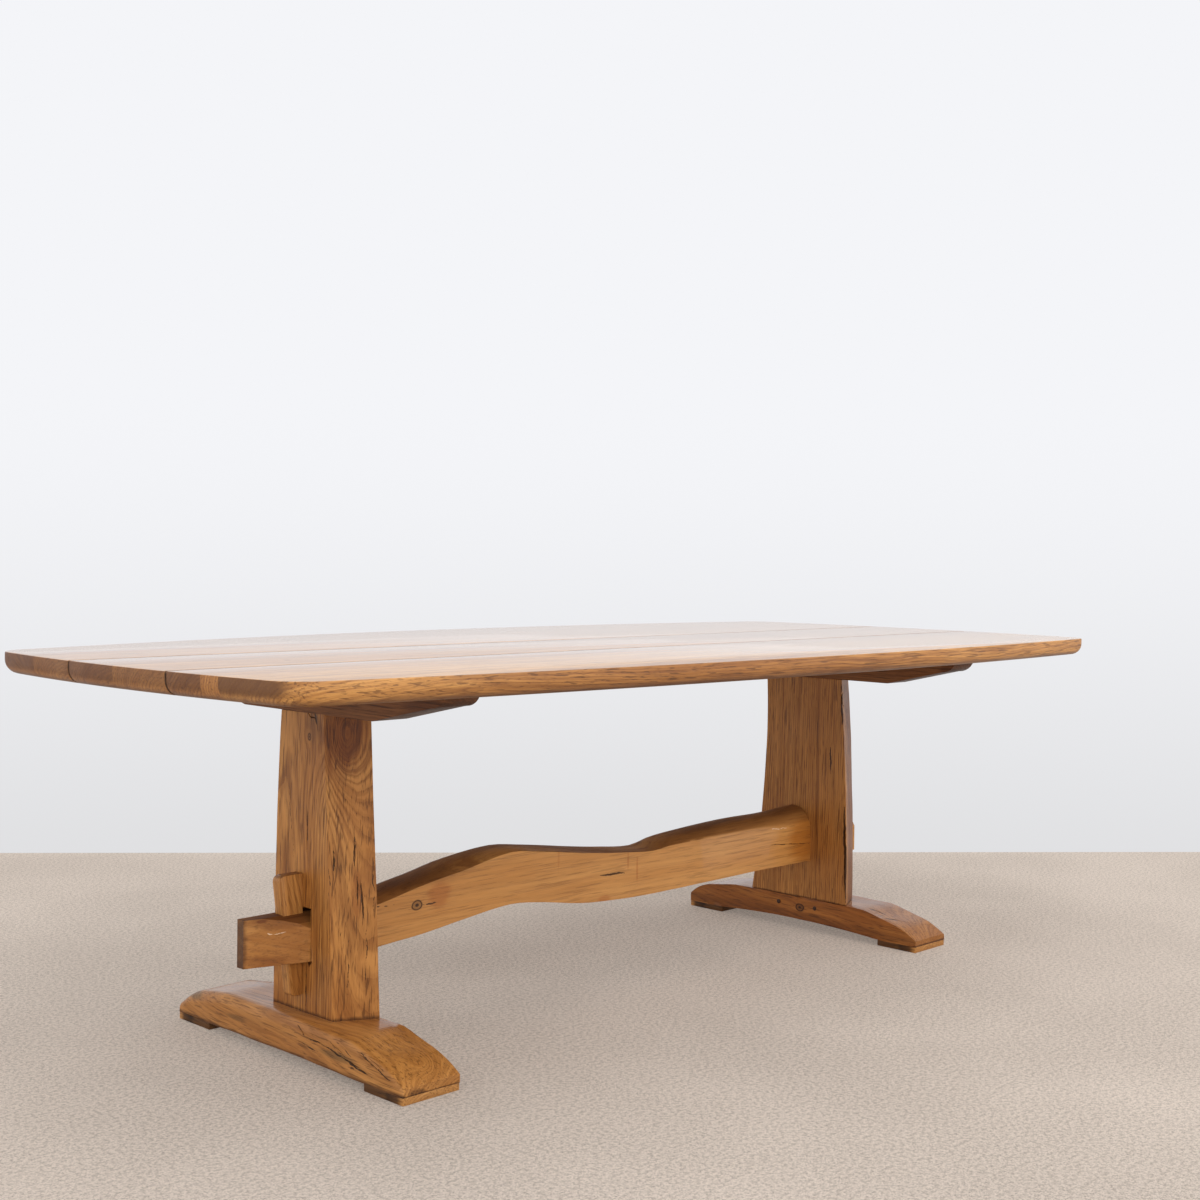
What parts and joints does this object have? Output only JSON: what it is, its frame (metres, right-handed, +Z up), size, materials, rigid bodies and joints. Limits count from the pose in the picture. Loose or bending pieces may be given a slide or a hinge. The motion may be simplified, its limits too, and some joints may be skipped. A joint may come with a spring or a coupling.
{
  "type": "trestle dining table",
  "caption": "Boat-shaped solid-wood dining table top on bevelled trestle legs with long feet, joined by a curved stretcher whose through tenons are locked by lift-out keys.",
  "frame": {"origin": "on the floor, under the middle of the table top", "axes": "+X along the top towards its right end, +Y across the top towards its far side, +Z up"},
  "size_m": [2.482, 1.194, 0.75],
  "materials": {
    "top_oak": "satin oiled",
    "frame_oak": "satin oiled",
    "inner_oak": "bare",
    "peg_oak": "satin oiled",
    "steel": "zinc plated"
  },
  "bodies": {
    "table": {"top_board_1": "top_oak", "top_board_2": "top_oak", "top_board_3": "top_oak", "top_board_4": "top_oak", "top_board_5": "top_oak", "top_board_6": "top_oak", "top_board_7": "top_oak", "far_tongue": "inner_oak", "near_tongue": "inner_oak", "stretcher": "frame_oak", "left_leg": "frame_oak", "left_cleat": "frame_oak", "left_tenon_wedges": "inner_oak", "left_top_screws": "steel", "left_top_washers": "steel", "left_foot": "frame_oak", "left_foot_pegs": "peg_oak", "left_far_pad": "frame_oak", "left_near_pad": "frame_oak", "left_pad_screws": "steel", "right_leg": "frame_oak", "right_cleat": "frame_oak", "right_tenon_wedges": "inner_oak", "right_top_screws": "steel", "right_top_washers": "steel", "right_foot": "frame_oak", "right_foot_pegs": "peg_oak", "right_far_pad": "frame_oak", "right_near_pad": "frame_oak", "right_pad_screws": "steel"},
    "left_key": {"left_key": "frame_oak"},
    "right_key": {"right_key": "frame_oak"}
  },
  "joints": [
    {"name": "left_key_lift", "type": "slide", "parent": "table", "child": "left_key", "axis": [0, 0, 1], "range_m": [0, 0.15]},
    {"name": "right_key_lift", "type": "slide", "parent": "table", "child": "right_key", "axis": [0, 0, 1], "range_m": [0, 0.15]}
  ]
}
